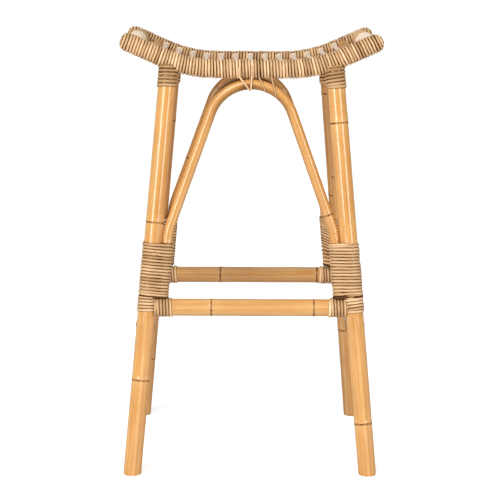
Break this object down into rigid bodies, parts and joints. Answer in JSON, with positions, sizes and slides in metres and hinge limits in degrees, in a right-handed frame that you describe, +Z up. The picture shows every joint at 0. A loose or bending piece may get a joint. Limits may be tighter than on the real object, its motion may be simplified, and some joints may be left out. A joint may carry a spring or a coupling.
{
  "type": "bar stool",
  "caption": "Backless bar stool of bent rattan poles, with a saddle seat of cane strands, cane-wound seat rails, arched braces and foot bars.",
  "frame": {"origin": "on the floor, midway between the four feet", "axes": "+X to the sitter's side of the seat's long way, +Y from front to back, +Z up"},
  "size_m": [0.4583, 0.4312, 0.7621],
  "materials": {
    "rattan_pole": "natural honey rattan skin, clear satin lacquer",
    "seat_pole": "natural rattan pole, clear satin lacquer",
    "deck_cane": "pale split cane, clear satin lacquer",
    "wound_cane": "wound split cane, clear satin lacquer",
    "screw_steel": "zinc-plated countersunk screws, hidden under the cane"
  },
  "bodies": {
    "root": {"back_arch": "rattan_pole", "back_bar_wraps": "wound_cane", "back_crown_ties": "wound_cane", "back_foot_bar": "rattan_pole", "back_left_bundle_binding": "wound_cane", "back_left_leg": "rattan_pole", "back_left_leg_band": "wound_cane", "back_left_top_binding": "wound_cane", "back_lengthwise_cane": "deck_cane", "back_rail_wrap": "wound_cane", "back_right_bundle_binding": "wound_cane", "back_right_leg": "rattan_pole", "back_right_leg_band": "wound_cane", "back_right_top_binding": "wound_cane", "back_seat_rail": "seat_pole", "cross_strand_01": "deck_cane", "cross_strand_02": "deck_cane", "cross_strand_03": "deck_cane", "cross_strand_04": "deck_cane", "cross_strand_05": "deck_cane", "cross_strand_06": "deck_cane", "cross_strand_07": "deck_cane", "cross_strand_08": "deck_cane", "cross_strand_09": "deck_cane", "cross_strand_10": "deck_cane", "cross_strand_11": "deck_cane", "cross_strand_12": "deck_cane", "cross_strand_13": "deck_cane", "frame_screws": "screw_steel", "front_arch": "rattan_pole", "front_bar_wraps": "wound_cane", "front_crown_ties": "wound_cane", "front_foot_bar": "rattan_pole", "front_left_bundle_binding": "wound_cane", "front_left_leg": "rattan_pole", "front_left_leg_band": "wound_cane", "front_left_top_binding": "wound_cane", "front_lengthwise_cane": "deck_cane", "front_rail_wrap": "wound_cane", "front_right_bundle_binding": "wound_cane", "front_right_leg": "rattan_pole", "front_right_leg_band": "wound_cane", "front_right_top_binding": "wound_cane", "front_seat_rail": "seat_pole", "left_arch": "rattan_pole", "left_bar_wraps": "wound_cane", "left_bearer": "seat_pole", "left_cross_pole": "seat_pole", "left_end_rail": "seat_pole", "left_end_wrap": "wound_cane", "left_foot_bar": "rattan_pole", "right_arch": "rattan_pole", "right_bar_wraps": "wound_cane", "right_bearer": "seat_pole", "right_cross_pole": "seat_pole", "right_end_rail": "seat_pole", "right_end_wrap": "wound_cane", "right_foot_bar": "rattan_pole", "side_crown_ties": "wound_cane"}
  },
  "joints": []
}
